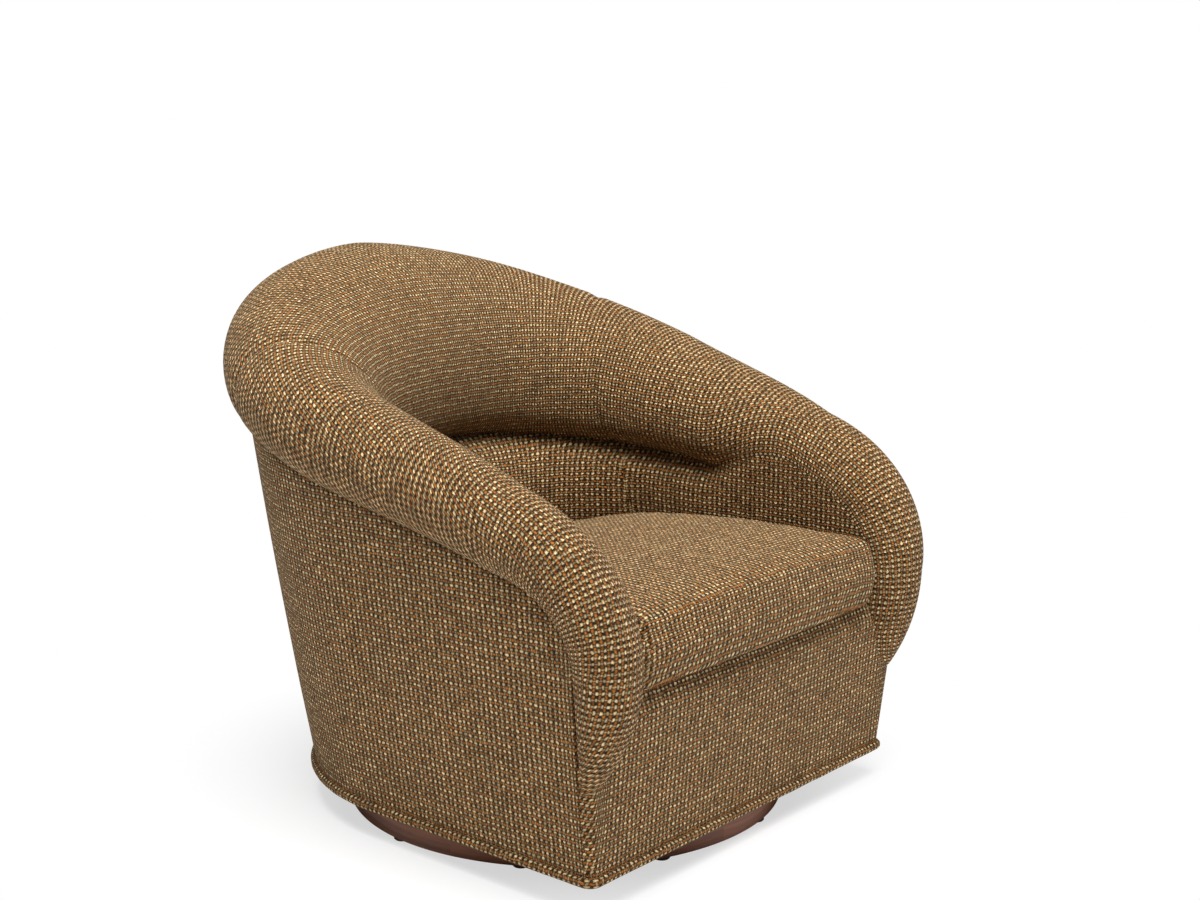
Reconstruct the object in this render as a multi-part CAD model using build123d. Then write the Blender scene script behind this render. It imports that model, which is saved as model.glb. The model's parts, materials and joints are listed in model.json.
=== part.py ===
from build123d import *
import math
import os

# Upholstered tub armchair that turns on a low round wooden plinth.
# Millimetres. The floor is z = 0 and the swivel axis is the Z axis.
# The seat opens towards -Y, and left and right are as seen from the front.

# Outline of the upholstered body at its bottom edge
base_half_width = 340.0
base_front = 341.0
base_back = 391.0
side_straight_end = 62.0
hem_height = 41.0

# Plinth
plinth_setback = 15.0
plinth_radius = min(base_half_width, base_front) - plinth_setback
plinth_wall = 22.0
plinth_height = 50.0
stave_count = 10
stave_turn = 12.0
stave_gap = 0.1
plinth_board_thickness = 16.0
plinth_board_drop = 8.0
glue_block_width = 40.0
glue_block_depth = 20.0
glue_block_height = 18.0
glide_diameter = 24.0
glide_height = 4.0
glide_rounding = 1.5
glide_stem_diameter = 4.0
glide_stem_length = 14.0

# Swivel bearing
swivel_plate_thickness = 3.0
lower_plate_radius = 150.0
upper_plate_width = 290.0
upper_plate_corner = 20.0
ball_diameter = 6.0
ball_count = 24
ball_circle_radius = 105.0
ball_play = 0.05
cage_pocket_play = 0.1
cage_width = 16.0
cage_thickness = 3.0
king_pin_diameter = 20.0
king_pin_play = 0.05
king_pin_stand = 9.0
washer_diameter = 36.0
washer_thickness = 2.0
washer_play = 0.1
circlip_diameter = 27.0
circlip_thickness = 1.5
plate_screw_diameter = 5.0
plate_screw_head = 10.0
plate_screw_length = 14.0
plate_screw_circle = 138.0
plate_screw_count = 8
plate_bolt_diameter = 6.0
plate_bolt_head = 11.0
plate_bolt_head_height = 4.0
plate_bolt_length = 24.0
plate_bolt_offset = 125.0

# Hardwood frame
frame_setback = 8.0
frame_thickness = 28.0
base_rail_height = 40.0
cross_rail_width = 45.0
cross_rail_height = 25.0
seat_rail_height = 40.0
top_rail_depth = 42.0
back_post_width = 40.0
corner_block_leg = 60.0
dust_cover_thickness = 0.8
dust_cover_play = 7.0
dust_cover_setback = 9.0

# Seat springs and deck
seat_deck_height = 286.0
deck_thickness = 12.0
deck_setback = 38.0
spring_count = 5
spring_spacing = 105.0
spring_wire = 4.0
spring_half_bar = 20.0
spring_bar_count = 24
clip_width = 26.0
clip_depth = 14.0
clip_height = 5.8
clip_play = 0.2

# Padded roll, given at the middle of the back and at the arm front
roll_top_back = 793.0
roll_top_arm = 550.0
roll_crease_back = 630.0
roll_crease_arm = 444.0
roll_flare_back = 96.0
roll_flare_arm = 40.0
roll_overhang_back = 36.0
roll_overhang_arm = 27.0
tuck_back = 502.0
tuck_arm = 440.0
tuck_depth_back = 164.0
tuck_depth_corner = 72.0
tuck_depth_arm = 62.0
roll_drop_power = 1.5
roll_drop_bow = 2.8
back_fullness_power = 1.3
mitre_angle = 57.0

# Front end of each arm, where the roll turns down to a tip
nose_depth = 126.0
nose_pivot_height = 330.0
nose_tip_height = 175.0
nose_end_flare = 22.0
nose_tip_flare = 12.0
nose_end_overhang = 24.0
nose_tip_overhang = 2.0
nose_end_reach = 173.0
nose_top_dip = 60.0
nose_crease_dip = 30.0
nose_tip_reach = 143.0
nose_end_width = 60.0
nose_end_tuck = 100.0
nose_tip_tuck = 120.0
nose_tip_crease = 118.0

# Lower pads inside the arms and back
pad_foot_back = 222.0
pad_foot_arm = 60.0
pad_thickness_arm = 23.0
pad_thickness_back = 62.0
pad_gap = 0.8
back_board_thickness = 6.0

# Outside covers
panel_thickness = 5.0
panel_gap = 5.0
front_panel_thickness = 6.0
front_lean = 0.085
front_corner_radius = 12.0
front_edge_inset = 68.0
welt_diameter = 14.0
welt_gap = 0.3
nose_clearance = 3.0

# Loose seat cushion
cushion_side_gap = 9.0
cushion_front = 371.0
cushion_front_bow = 10.0
cushion_back_gap = 6.0
cushion_back_rounding = 120.0
cushion_front_rounding = 22.0
cushion_rest_gap = 0.3
cushion_crown_height = 398.0
cushion_crown_place = 205.0
cushion_crown_radius = 1520.0
cushion_middle = 105.0
# Share of the height and share of the outline, from the bottom up
cushion_profile = [(0, 0.955), (0.06, 0.98), (0.16, 0.995), (0.4, 1), (0.6, 0.99), (0.75, 0.965), (0.88, 0.92), (1, 0.82)]

# Heights worked out from the sizes above
stave_bottom = glide_height
stave_top = stave_bottom + plinth_height
board_top = stave_top - plinth_board_drop
board_bottom = board_top - plinth_board_thickness
lower_plate_top = board_top + swivel_plate_thickness
ball_height = lower_plate_top + ball_diameter / 2
upper_plate_bottom = lower_plate_top + ball_diameter
frame_bottom = upper_plate_bottom + swivel_plate_thickness
base_rail_top = frame_bottom + base_rail_height
panel_bottom = hem_height + welt_diameter + welt_gap
deck_bottom = seat_deck_height - deck_thickness
seat_rail_top = deck_bottom - clip_height - clip_play
seat_rail_bottom = seat_rail_top - seat_rail_height
spring_height = seat_rail_top + clip_height / 2
back_depth = base_back - side_straight_end
nose_pivot_y = -(base_front - nose_depth)
frame_inside = frame_setback + frame_thickness

os.makedirs("parts", exist_ok=True)


def save(shape, name):
    export_step(shape, f"parts/{name}.step")


def block(x0, x1, y0, y1, z0, z1):
    """A box between two opposite corners."""
    middle = Pos((x0 + x1) / 2, (y0 + y1) / 2, (z0 + z1) / 2)
    return middle * Box(abs(x1 - x0), abs(y1 - y0), abs(z1 - z0))


def disc(radius, z0, z1, x=0.0, y=0.0):
    """An upright cylinder between two heights."""
    return Pos(x, y, (z0 + z1) / 2) * Cylinder(radius, z1 - z0)


def mirrored(shape):
    return mirror(shape, about=Plane.YZ)


def polar(radius, degrees):
    turn = math.radians(degrees)
    return radius * math.cos(turn), radius * math.sin(turn)


# Plinth: a ring of butt-jointed staves round a board, on one glide a stave
def stave_angles():
    return [stave_turn + 360.0 * (i + 0.5) / stave_count for i in range(stave_count)]


def plinth_stave(angle):
    ring = disc(plinth_radius, stave_bottom, stave_top)
    ring -= disc(plinth_radius - plinth_wall, stave_bottom, stave_top)
    half = math.pi / stave_count - stave_gap / 2 / plinth_radius
    reach = 2 * plinth_radius
    corner_x = reach * math.cos(half)
    corner_y = reach * math.sin(half)
    wedge = make_face(Polyline((0, 0), (corner_x, -corner_y), (corner_x, corner_y), close=True))
    stave = ring & extrude(Pos(0, 0, stave_bottom) * wedge, plinth_height)
    stem_x = plinth_radius - plinth_wall / 2
    stave -= disc(glide_stem_diameter / 2, stave_bottom, stave_bottom + glide_stem_length, stem_x)
    return Rot(0, 0, angle) * stave


def floor_glide(angle):
    x, y = polar(plinth_radius - plinth_wall / 2, angle)
    foot = disc(glide_diameter / 2 - glide_rounding, 0, glide_height)
    foot += disc(glide_diameter / 2, glide_rounding, glide_height)
    foot += disc(glide_stem_diameter / 2, 0, glide_height + glide_stem_length)
    return Pos(x, y, 0) * foot


def glue_block(angle):
    outer = plinth_radius - plinth_wall
    inner = outer - glue_block_depth
    half = glue_block_width / 2
    piece = block(inner, outer, -half, half, board_bottom - glue_block_height, board_bottom)
    piece &= disc(outer - stave_gap, 0, board_bottom)
    return Rot(0, 0, angle) * piece


for number, angle in enumerate(stave_angles(), start=1):
    save(plinth_stave(angle), f"plinth_stave_{number}")
save(Compound(children=[floor_glide(angle) for angle in stave_angles()]), "floor_glides")
save(Compound(children=[glue_block(angle) for angle in stave_angles()]), "plinth_glue_blocks")


# Swivel bearing between the plinth board and the cross rails
def screw_places():
    return [polar(plate_screw_circle, 360.0 * i / plate_screw_count) for i in range(plate_screw_count)]


def plate_screw(x, y):
    head_height = (plate_screw_head - plate_screw_diameter) / 2
    shank = disc(plate_screw_diameter / 2, lower_plate_top - plate_screw_length, lower_plate_top, x, y)
    cone = Cone(plate_screw_diameter / 2, plate_screw_head / 2, head_height)
    return shank + Pos(x, y, lower_plate_top - head_height / 2) * cone


def bolt_places():
    offset = plate_bolt_offset
    return [(x, y) for x in (-offset, offset) for y in (-offset, offset)]


def plate_bolt(x, y):
    head = extrude(RegularPolygon(plate_bolt_head / 2, 6), plate_bolt_head_height)
    head = Pos(x, y, upper_plate_bottom - plate_bolt_head_height) * head
    shank_top = upper_plate_bottom + plate_bolt_length
    return head + disc(plate_bolt_diameter / 2, upper_plate_bottom, shank_top, x, y)


plate_screws = Compound(children=[plate_screw(x, y) for x, y in screw_places()])
plate_bolts = Compound(children=[plate_bolt(x, y) for x, y in bolt_places()])

plinth_board = disc(plinth_radius - plinth_wall - stave_gap, board_bottom, board_top)
lower_plate = disc(lower_plate_radius, board_top, lower_plate_top)
lower_plate -= disc(king_pin_diameter / 2, board_top, lower_plate_top)
for x, y in screw_places():
    plinth_board -= plate_screw(x, y)
    lower_plate -= plate_screw(x, y)
save(plinth_board, "plinth_board")
save(lower_plate, "swivel_lower_plate")
save(plate_screws, "lower_plate_screws")

circlip_bottom = frame_bottom + washer_play + washer_thickness
king_pin_top = frame_bottom + king_pin_stand
groove_radius = king_pin_diameter / 2 - circlip_thickness
king_pin = disc(king_pin_diameter / 2, board_top, king_pin_top)
king_pin -= disc(king_pin_diameter, circlip_bottom, circlip_bottom + circlip_thickness) - disc(
    groove_radius, circlip_bottom, circlip_bottom + circlip_thickness
)
circlip = disc(circlip_diameter / 2, circlip_bottom, circlip_bottom + circlip_thickness)
circlip -= disc(groove_radius, circlip_bottom, circlip_bottom + circlip_thickness)
pin_bore = king_pin_diameter / 2 + king_pin_play
washer = disc(washer_diameter / 2, frame_bottom + washer_play, circlip_bottom)
washer -= disc(king_pin_diameter / 2, frame_bottom + washer_play, circlip_bottom)
save(king_pin, "king_pin")
save(circlip, "king_pin_circlip")
save(washer, "king_pin_washer")

upper_plate = extrude(RectangleRounded(upper_plate_width, upper_plate_width, upper_plate_corner), swivel_plate_thickness)
upper_plate = Pos(0, 0, upper_plate_bottom) * upper_plate
upper_plate -= disc(pin_bore, upper_plate_bottom, frame_bottom)
for x, y in bolt_places():
    upper_plate -= disc(plate_bolt_diameter / 2, upper_plate_bottom, frame_bottom, x, y)
save(upper_plate, "swivel_upper_plate")
save(plate_bolts, "upper_plate_bolts")


def ball_places():
    return [polar(ball_circle_radius, 360.0 * i / ball_count) for i in range(ball_count)]


cage_low = ball_height - cage_thickness / 2
cage_high = ball_height + cage_thickness / 2
ball_cage = disc(ball_circle_radius + cage_width / 2, cage_low, cage_high)
ball_cage -= disc(ball_circle_radius - cage_width / 2, cage_low, cage_high)
for x, y in ball_places():
    ball_cage -= disc(ball_diameter / 2 - ball_play + cage_pocket_play, cage_low, cage_high, x, y)
balls = [Pos(x, y, ball_height) * Sphere(ball_diameter / 2 - ball_play) for x, y in ball_places()]
save(ball_cage, "ball_cage")
save(Compound(children=balls), "bearing_balls")


# Base rails: a ring that follows the body's outline, cut into four pieces
def body_outline(inset, front_inset):
    """The outline drawn in by one distance at the sides and back, another at the front."""
    half = base_half_width - inset
    front = -(base_front - front_inset)
    straight = Pos(0, (front + side_straight_end) / 2) * Rectangle(2 * half, side_straight_end - front)
    return straight + Pos(0, side_straight_end) * Ellipse(half, back_depth - inset)


def body_slab(inset, front_inset, z0, z1):
    return extrude(Pos(0, 0, z0) * body_outline(inset, front_inset), z1 - z0)


base_ring = body_slab(frame_setback, frame_setback, frame_bottom, base_rail_top)
base_ring -= body_slab(frame_inside, frame_inside, frame_bottom, base_rail_top)
far = 2 * (base_front + base_back)
front_rail_back = -(base_front - frame_inside)
side_rail_inside = base_half_width - frame_inside
front_rail = base_ring & block(-far, far, -far, front_rail_back, 0, far)
rear_rail = base_ring & block(-far, far, side_straight_end, far, 0, far)
side_rail_right = base_ring & block(0, far, front_rail_back, side_straight_end, 0, far)
save(front_rail, "base_rail_front")
save(rear_rail, "base_rail_rear")
save(side_rail_right, "base_rail_right")
save(mirrored(side_rail_right), "base_rail_left")

for name, y in (("front", -plate_bolt_offset), ("rear", plate_bolt_offset)):
    rail = block(
        -far, far, y - cross_rail_width / 2, y + cross_rail_width / 2, frame_bottom, frame_bottom + cross_rail_height
    )
    rail &= body_slab(frame_inside, frame_inside, frame_bottom, base_rail_top)
    for bolt_x, bolt_y in bolt_places():
        rail -= disc(plate_bolt_diameter / 2, frame_bottom, upper_plate_bottom + plate_bolt_length, bolt_x, bolt_y)
    save(rail, f"cross_rail_{name}")


def corner_block(side):
    """A three-cornered block glued into a front corner of the base rails."""
    x = side * side_rail_inside
    y = front_rail_back
    leg = corner_block_leg
    face = make_face(Polyline((x, y), (x - side * leg, y), (x, y + leg), close=True))
    return extrude(Pos(0, 0, frame_bottom) * face, base_rail_height)


save(Compound(children=[corner_block(-1), corner_block(1)]), "corner_blocks")

dust_cover = body_slab(dust_cover_setback, dust_cover_setback, frame_bottom - dust_cover_thickness, frame_bottom)
dust_cover_hole = upper_plate_width * math.sqrt(0.5) + dust_cover_play
dust_cover -= disc(dust_cover_hole, frame_bottom - dust_cover_thickness, frame_bottom)
save(dust_cover, "dust_cover")


# Stations: upright or tilted planes square to the body's outline. In each one the
# first coordinate runs inwards from the bottom outline and the second runs upwards,
# or forwards where the roll has turned down.
def back_plane(angle):
    turn = math.radians(angle)
    spot = (base_half_width * math.sin(turn), side_straight_end + back_depth * math.cos(turn), 0)
    inward = Vector(-math.sin(turn) / base_half_width, -math.cos(turn) / back_depth, 0).normalized()
    return Plane(origin=spot, x_dir=inward, z_dir=inward.cross(Vector(0, 0, 1)))


def arm_plane(y):
    return Plane(origin=(base_half_width, y, 0), x_dir=(-1, 0, 0), z_dir=(0, 1, 0))


def nose_plane(tilt):
    turn = math.radians(tilt)
    spot = (base_half_width, nose_pivot_y, nose_pivot_height)
    return Plane(origin=spot, x_dir=(-1, 0, 0), z_dir=(0, math.cos(turn), math.sin(turn)))


def drop_plane(z):
    return Plane(origin=(base_half_width, nose_pivot_y, z), x_dir=(-1, 0, 0), z_dir=(0, 0, 1))


def back_length(angle, steps=40):
    """Length of the bottom outline from the middle of the back to an angle."""
    total = 0.0
    for i in range(steps):
        turn = math.radians(abs(angle) * (i + 0.5) / steps)
        step = math.radians(abs(angle)) / steps
        total += step * math.hypot(base_half_width * math.cos(turn), back_depth * math.sin(turn))
    return total


path_length = back_length(90) + side_straight_end - nose_pivot_y


def drop_share(path):
    part = path / path_length
    return part**roll_drop_power + roll_drop_bow * part**3 * (1 - part) ** 2


def between(start, end, share):
    return start + (end - start) * share


def roll_section(share, fullness, tuck_depth):
    """Crease, overhang, top height, inner tuck and pad thickness at one station."""
    crease = (
        -between(roll_flare_back, roll_flare_arm, share),
        between(roll_crease_back, roll_crease_arm, share),
    )
    overhang = between(roll_overhang_back, roll_overhang_arm, share)
    top = between(roll_top_back, roll_top_arm, share)
    tuck = (tuck_depth, between(tuck_back, tuck_arm, share))
    thickness = between(pad_thickness_arm, pad_thickness_back, fullness)
    return crease, overhang, top, tuck, thickness


def back_fullness(angle):
    return max(math.cos(math.radians(angle)), 0.0) ** back_fullness_power


def back_section(angle):
    fullness = back_fullness(angle)
    depth = between(tuck_depth_corner, tuck_depth_back, fullness)
    return roll_section(drop_share(back_length(angle)), fullness, depth)


def arm_section(y):
    run = (side_straight_end - y) / (side_straight_end - nose_pivot_y)
    depth = between(tuck_depth_corner, tuck_depth_arm, run)
    return roll_section(drop_share(back_length(90) + side_straight_end - y), 0.0, depth)


def nose_section(tilt):
    turn = tilt / 90
    dip = turn * (1 - turn) ** 2
    crease_reach = roll_crease_arm - nose_pivot_height - nose_crease_dip * dip
    crease = (-between(roll_flare_arm, nose_end_flare, turn), crease_reach)
    overhang = between(roll_overhang_arm, nose_end_overhang, turn)
    top = between(roll_top_arm - nose_pivot_height, nose_end_reach, turn) - nose_top_dip * dip
    tuck = (
        between(tuck_depth_arm, nose_end_width, turn),
        between(tuck_arm - nose_pivot_height, nose_end_tuck, turn),
    )
    return crease, overhang, top, tuck, pad_thickness_arm


def drop_section(share):
    left = 1 - share * share
    crease_reach = between(roll_crease_arm - nose_pivot_height, nose_tip_crease, share)
    crease = (-between(nose_end_flare, nose_tip_flare, share), crease_reach)
    overhang = between(nose_tip_overhang, nose_end_overhang, left)
    top = between(nose_tip_reach, nose_end_reach, left)
    tuck = (nose_end_width * left, between(nose_tip_tuck, nose_end_tuck, left))
    return crease, overhang, top, tuck, pad_thickness_arm * left


def roll_arcs(section):
    """Place of the roll's top and the radii of the two arcs that meet level there."""
    (crease_n, crease_h), overhang, top, (tuck_n, tuck_h), _ = section
    rise = top - crease_h
    outer = overhang + rise - math.sqrt(2 * overhang * rise)
    top_n = crease_n - overhang + outer
    fall = top - tuck_h
    inner = ((tuck_n - top_n) ** 2 + fall**2) / (2 * fall)
    return top_n, outer, inner


def roll_face(plane, section):
    """The roll's section: an outer arc, an inner arc and a sloping underside."""
    (crease_n, crease_h), overhang, top, (tuck_n, tuck_h), thickness = section
    top_n, outer, inner = roll_arcs(section)
    shoulder = math.sqrt(0.5)
    outer_mid = (crease_n - overhang, top - outer)
    inner_mid = (top_n + inner * shoulder, top - inner + inner * shoulder)
    edges = [
        ThreePointArc((crease_n, crease_h), outer_mid, (top_n, top)),
        ThreePointArc((top_n, top), inner_mid, (tuck_n, tuck_h)),
        Line((tuck_n, tuck_h), (tuck_n - thickness, tuck_h)),
        Line((tuck_n - thickness, tuck_h), (crease_n, crease_h)),
    ]
    return plane * make_face(edges)


def quad_face(plane, *corners):
    return plane * make_face(Polyline(*corners, close=True))


back_angles = [mitre_angle * step / 5 for step in range(-5, 6)]
corner_angles = [between(mitre_angle, 90, step / 3) for step in range(4)]
arm_places = [between(side_straight_end, nose_pivot_y, step / 4) for step in range(1, 5)]
nose_tilts = [15.0, 30.0, 45.0, 60.0, 75.0, 90.0]
drop_shares = [0.2, 0.4, 0.55, 0.7, 0.82, 0.93]
nose_fall = nose_pivot_height - nose_tip_height

back_stations = [(back_plane(angle), back_section(angle)) for angle in back_angles]
arm_stations = [(back_plane(angle), back_section(angle)) for angle in corner_angles]
arm_stations += [(arm_plane(y), arm_section(y)) for y in arm_places]
nose_stations = [(nose_plane(tilt), nose_section(tilt)) for tilt in nose_tilts]
drop_stations = [
    (drop_plane(nose_pivot_height - share * nose_fall), drop_section(share)) for share in drop_shares
]

back_roll = loft([roll_face(plane, section) for plane, section in back_stations])
arm_roll = loft([roll_face(plane, section) for plane, section in arm_stations + nose_stations + drop_stations])
save(back_roll, "back_roll")
save(arm_roll, "arm_roll_right")
save(mirrored(arm_roll), "arm_roll_left")


# Top rails: they follow the underside of the roll
def underside(section, n):
    (crease_n, crease_h), _, _, (tuck_n, tuck_h), thickness = section
    pad_n = tuck_n - thickness
    return crease_h + (tuck_h - crease_h) * (n - crease_n) / (pad_n - crease_n) - pad_gap


def top_rail_face(plane, section):
    outer = (frame_setback, underside(section, frame_setback))
    inner = (frame_inside, underside(section, frame_inside))
    foot = min(outer[1], inner[1]) - top_rail_depth
    return quad_face(plane, outer, inner, (frame_inside, foot), (frame_setback, foot))


def top_rail_foot(section):
    return min(underside(section, frame_setback), underside(section, frame_inside)) - top_rail_depth


back_top_rail = loft([top_rail_face(plane, section) for plane, section in back_stations])
arm_top_rail = loft([top_rail_face(plane, section) for plane, section in arm_stations + nose_stations])
save(back_top_rail, "back_top_rail")
save(arm_top_rail, "arm_top_rail_right")
save(mirrored(arm_top_rail), "arm_top_rail_left")

# Posts between the base rails and the top rails
post_front = nose_pivot_y - underside(nose_section(90), frame_inside)
post_rear = post_front + top_rail_depth
front_post = block(
    side_rail_inside, base_half_width - frame_setback, post_front, post_rear, base_rail_top, nose_pivot_height
)
save(front_post, "front_post_right")
save(mirrored(front_post), "front_post_left")

next_foot = top_rail_foot(back_section(corner_angles[1]))
mitre_foot = top_rail_foot(back_section(mitre_angle))
mitre_run = back_length(corner_angles[1]) - back_length(mitre_angle)
post_slope = (mitre_foot - next_foot) / mitre_run
back_post_top = mitre_foot - 2 * pad_gap - post_slope * back_post_width / 2
back_post = back_plane(mitre_angle).location * block(
    frame_setback, frame_inside, base_rail_top, back_post_top, -back_post_width / 2, back_post_width / 2
)
save(back_post, "back_post_right")
save(mirrored(back_post), "back_post_left")

# Seat rails, clips, zigzag springs and deck
post_place = back_plane(mitre_angle).from_local_coords((frame_setback + frame_thickness / 2, 0))
rear_seat_y = post_place.Y
front_seat_y = post_front + frame_thickness / 2


def seat_beam(start, end):
    """A rail of the seat frame on edge between two plan points."""
    run = Vector(*end) - Vector(*start)
    beam = Box(run.length, frame_thickness, seat_rail_height)
    turn = math.degrees(math.atan2(run.Y, run.X))
    middle = (Vector(*start) + Vector(*end)) / 2
    return Pos(middle.X, middle.Y, (seat_rail_top + seat_rail_bottom) / 2) * Rot(0, 0, turn) * beam


front_seat_rail = seat_beam((-side_rail_inside, front_seat_y), (side_rail_inside, front_seat_y))
rear_seat_rail = seat_beam((-post_place.X, rear_seat_y), (post_place.X, rear_seat_y))
rear_seat_rail -= back_post
rear_seat_rail -= mirrored(back_post)
side_seat_start = (base_half_width - frame_setback - frame_thickness / 2, post_rear)
side_seat_rail = seat_beam(side_seat_start, (post_place.X, post_place.Y)) - back_post - rear_seat_rail - front_post
side_seat_rail = side_seat_rail.solids().sort_by(SortBy.VOLUME)[-1]
save(front_seat_rail, "seat_rail_front")
save(rear_seat_rail, "seat_rail_rear")
save(side_seat_rail, "seat_rail_right")
save(mirrored(side_seat_rail), "seat_rail_left")


def spring_places():
    middle = (spring_count - 1) / 2
    return [(i - middle) * spring_spacing for i in range(spring_count)]


def zigzag_spring(x):
    """One wire that runs to and fro across the seat, with a half-round turn at each side."""
    pitch = (rear_seat_y - front_seat_y) / (spring_bar_count - 1)
    edges = []
    for i in range(spring_bar_count):
        y = front_seat_y + i * pitch
        side = 1 if i % 2 == 0 else -1
        start = (x - side * spring_half_bar, y, spring_height)
        end = (x + side * spring_half_bar, y, spring_height)
        edges.append(Line(start, end))
        if i < spring_bar_count - 1:
            crest = (x + side * (spring_half_bar + pitch / 2), y + pitch / 2, spring_height)
            edges.append(ThreePointArc(end, crest, (end[0], y + pitch, spring_height)))
    path = Wire(edges)
    section = Plane(origin=path @ 0, z_dir=path % 0) * Circle(spring_wire / 2)
    return sweep(section, path=path)


def spring_clip(x, y):
    clip = block(
        x - clip_width / 2,
        x + clip_width / 2,
        y - clip_depth / 2,
        y + clip_depth / 2,
        seat_rail_top,
        seat_rail_top + clip_height,
    )
    bore = Pos(x, y, spring_height) * Rot(0, 90, 0) * Cylinder(spring_wire / 2 + clip_play, 2 * clip_width)
    return clip - bore


clips = [spring_clip(x, y) for x in spring_places() for y in (front_seat_y, rear_seat_y)]
save(Compound(children=clips), "spring_clips")
save(Compound(children=[zigzag_spring(x) for x in spring_places()]), "seat_springs")

deck_front_inset = base_front + post_front
seat_deck = body_slab(deck_setback, deck_front_inset, deck_bottom, seat_deck_height)
save(seat_deck, "seat_deck")


# Lower pads: inside each arm and across the back, from the deck up to the tuck
def pad_foot(fullness):
    return between(pad_foot_arm, pad_foot_back, fullness)


def pad_face(plane, section, foot_n):
    _, _, _, (tuck_n, tuck_h), thickness = section
    foot_h = seat_deck_height + pad_gap
    top_h = tuck_h - pad_gap
    return quad_face(
        plane,
        (tuck_n, top_h),
        (foot_n, foot_h),
        (foot_n - thickness, foot_h),
        (tuck_n - thickness, top_h),
    )


def board_face(plane, section, foot_n):
    _, _, _, (tuck_n, tuck_h), thickness = section
    foot_h = seat_deck_height + pad_gap
    top_h = tuck_h - pad_gap
    pad_back = tuck_n - thickness - pad_gap
    foot_back = foot_n - thickness - pad_gap
    return quad_face(
        plane,
        (pad_back, top_h),
        (foot_back, foot_h),
        (foot_back - back_board_thickness, foot_h),
        (pad_back - back_board_thickness, top_h),
    )


lumbar_faces = []
board_faces = []
for angle, (plane, section) in zip(back_angles, back_stations):
    lumbar_faces.append(pad_face(plane, section, pad_foot(back_fullness(angle))))
    board_faces.append(board_face(plane, section, pad_foot(back_fullness(angle))))
save(loft(lumbar_faces), "lumbar_pad")
save(loft(board_faces), "inner_back_board")

arm_pad_faces = []
for angle in corner_angles:
    arm_pad_faces.append(pad_face(back_plane(angle), back_section(angle), pad_foot(back_fullness(angle))))
for y in arm_places:
    arm_pad_faces.append(pad_face(arm_plane(y), arm_section(y), pad_foot_arm))
for tilt in nose_tilts[:-1]:
    crease, overhang, top, (tuck_n, tuck_reach), thickness = nose_section(tilt)
    turn = math.radians(tilt)
    y = nose_pivot_y - tuck_reach * math.sin(turn)
    tuck_h = nose_pivot_height + tuck_reach * math.cos(turn) - pad_gap
    flat_section = (crease, overhang, top, (tuck_n, tuck_h), thickness)
    arm_pad_faces.append(pad_face(arm_plane(y), flat_section, pad_foot_arm))
arm_pad = loft(arm_pad_faces)
save(arm_pad, "inside_arm_pad_right")
save(mirrored(arm_pad), "inside_arm_pad_left")


# Outside covers: from the welt up to the crease under the roll
def panel_face(plane, crease, slope):
    crease_n, crease_h = crease
    top_h = crease_h - panel_gap
    return quad_face(
        plane,
        (0, panel_bottom),
        (crease_n, top_h),
        (crease_n + panel_thickness, top_h - slope * panel_thickness),
        (panel_thickness, panel_bottom),
    )


def underside_slope(section):
    (crease_n, crease_h), _, _, (tuck_n, tuck_h), thickness = section
    return (crease_h - tuck_h) / (tuck_n - thickness - crease_n)


back_panel_faces = [panel_face(plane, s[0], underside_slope(s)) for plane, s in back_stations]
save(loft(back_panel_faces), "outside_back_panel")

side_panel_faces = [panel_face(plane, s[0], underside_slope(s)) for plane, s in arm_stations]
for tilt in nose_tilts[:-1]:
    crease_n, crease_reach = nose_section(tilt)[0]
    turn = math.radians(tilt)
    y = nose_pivot_y - crease_reach * math.sin(turn)
    crease_h = nose_pivot_height + crease_reach * math.cos(turn)
    side_panel_faces.append(panel_face(arm_plane(y), (crease_n, crease_h), 1.0))
side_panel = loft(side_panel_faces)
save(side_panel, "outside_panel_right")
save(mirrored(side_panel), "outside_panel_left")

# Front cover: it wraps both front corners below the arm tips and rises between the arms
side_panel_front = side_panel.bounding_box().min.Y - welt_gap
nose_end_height = nose_pivot_height - drop_shares[-1] * nose_fall - nose_clearance


def front_outline(z, inset):
    grow = front_lean * (z - panel_bottom)
    half = base_half_width + grow - inset
    front = -(base_front + grow - inset)
    corner = front_corner_radius - inset
    slab = Pos(0, front / 2) * RectangleRounded(2 * half, -front, corner)
    return Pos(0, 0, z) * slab


def front_taper(inset):
    return loft([front_outline(panel_bottom, inset), front_outline(nose_end_height, inset)])


front_wrap = front_taper(0) - front_taper(front_panel_thickness)
front_wrap &= block(-far, far, -far, side_panel_front, 0, far)

lean_length = math.hypot(1, front_lean)
front_plane = Plane(
    origin=(0, -base_front, panel_bottom), x_dir=(1, 0, 0), z_dir=(0, -1 / lean_length, -front_lean / lean_length)
)


def front_corner(share):
    """A point of the front cover's upper edge, just clear of the arm's tip."""
    z = nose_pivot_height - share * nose_fall
    top_n, _, inner = roll_arcs(drop_section(share))
    x = base_half_width - top_n - inner - nose_clearance
    return x, (z - panel_bottom) * lean_length


top_share = (nose_pivot_height - seat_deck_height + pad_gap) / nose_fall
corner_points = [front_corner(share) for share in (top_share, 0.5, 0.65, 0.8, 0.88)]
low_edge = (nose_end_height - panel_bottom) * lean_length
low_points = [(corner_points[-1][0], low_edge), (corner_points[-1][0], low_edge - corner_block_leg)]
right_edge = corner_points + low_points
left_edge = [(-x, h) for x, h in reversed(right_edge)]
front_sheet = front_plane * make_face(Polyline(*right_edge, *left_edge, close=True))
front_panel = front_wrap + extrude(front_sheet, -front_panel_thickness)
save(front_panel, "front_panel")

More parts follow.
